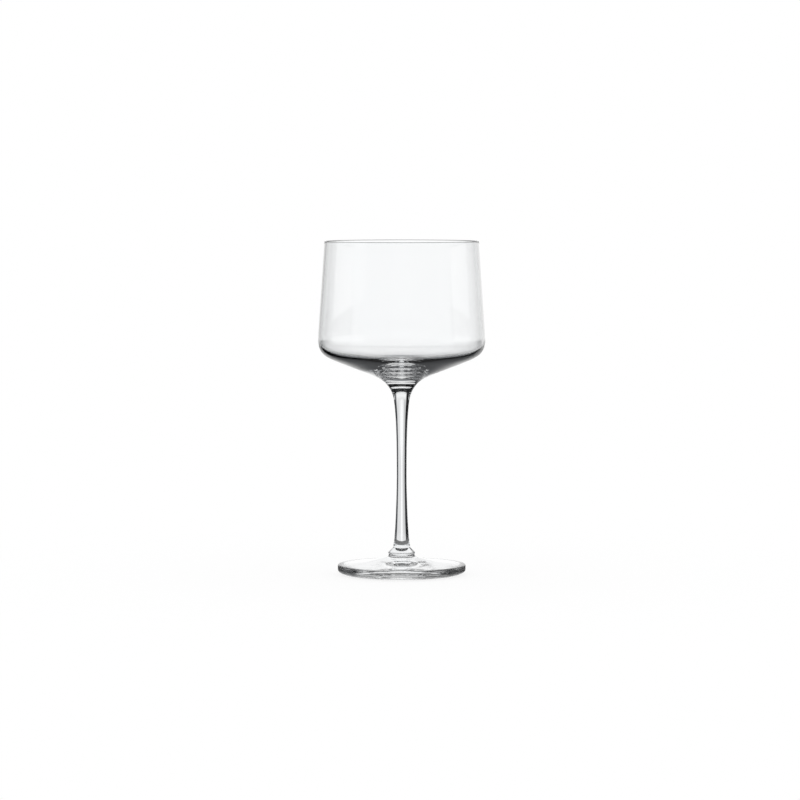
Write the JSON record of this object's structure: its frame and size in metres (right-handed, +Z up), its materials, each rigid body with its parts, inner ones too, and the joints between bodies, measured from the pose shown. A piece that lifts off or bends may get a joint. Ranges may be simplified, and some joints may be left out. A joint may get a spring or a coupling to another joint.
{
  "type": "nick and nora glass",
  "caption": "Clear stemmed cocktail glass: wide bowl with a low cone under it and sides that narrow to the rim, on a thin drawn stem, a collar bead and a thick round foot.",
  "frame": {"origin": "on the table plane, at the middle of the foot's rest ring", "axes": "+Z up the stem to the rim; the glass is a body of revolution about Z, the picture looks along +Y and +X is to its right"},
  "size_m": [0.0816, 0.0816, 0.1631],
  "materials": {
    "clear_glass": "smooth, fire-polished, colourless with a faint cool grey in the thick glass"
  },
  "bodies": {
    "root": {"bowl": "clear_glass", "stem": "clear_glass", "collar": "clear_glass", "foot": "clear_glass"}
  },
  "joints": []
}
